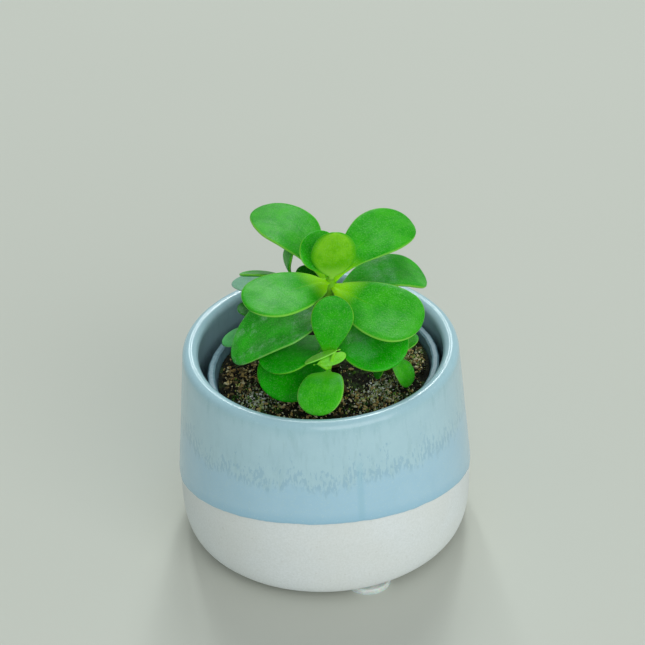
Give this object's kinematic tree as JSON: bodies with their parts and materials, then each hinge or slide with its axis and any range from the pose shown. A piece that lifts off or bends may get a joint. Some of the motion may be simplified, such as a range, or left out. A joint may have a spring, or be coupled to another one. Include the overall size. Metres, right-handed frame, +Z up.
{
  "type": "potted jade plant",
  "caption": "Small jade plant with thick rounded green leaves, growing in a thin nursery liner that stands in a round two-tone ceramic pot.",
  "frame": {"origin": "on the ground under the middle of the pot", "axes": "+Z up through the pot's mouth, -Y towards the front, +X to the right of a viewer at the front"},
  "size_m": [0.085, 0.085, 0.0999],
  "materials": {
    "leaf": "smooth waxy succulent leaf, mid green with a paler yellow-green foot and edge and a soft sheen",
    "stem": "soft green-brown succulent stem",
    "glazed_pot": "glossy pale blue glaze above a slanting line, raw matt cream stoneware below it",
    "liner_plastic": "thin dark blue-grey moulded plastic",
    "potting_mix": "dark peat with tan and white grit and a little green moss",
    "clear_pad": "soft cloudy clear pad"
  },
  "bodies": {
    "root": {"back_leaf_1_up": "leaf", "back_leaf_2_left": "leaf", "back_leaf_3_back": "leaf", "back_leaf_3_left": "leaf", "back_leaf_4_left": "leaf", "back_shoot_stem": "stem", "ceramic_pot": "glazed_pot", "foot_pad_1": "clear_pad", "foot_pad_2": "clear_pad", "foot_pad_3": "clear_pad", "front_leaf_1_down": "leaf", "front_leaf_1_up": "leaf", "front_leaf_2_left": "leaf", "front_leaf_2_right": "leaf", "front_shoot_stem": "stem", "main_leaf_1_back": "leaf", "main_leaf_1_front": "leaf", "main_leaf_2_left": "leaf", "main_leaf_2_right": "leaf", "main_leaf_3_left": "leaf", "main_leaf_3_right": "leaf", "main_leaf_4_left": "leaf", "main_leaf_4_right": "leaf", "main_leaf_5_back": "leaf", "main_leaf_5_right": "leaf", "main_leaf_6_left": "leaf", "main_leaf_7_left": "leaf", "main_stem": "stem", "nursery_liner": "liner_plastic", "potting_soil": "potting_mix", "right_leaf_1_back": "leaf", "right_leaf_1_front": "leaf", "right_leaf_2_left": "leaf", "right_shoot_stem": "stem"}
  },
  "joints": []
}
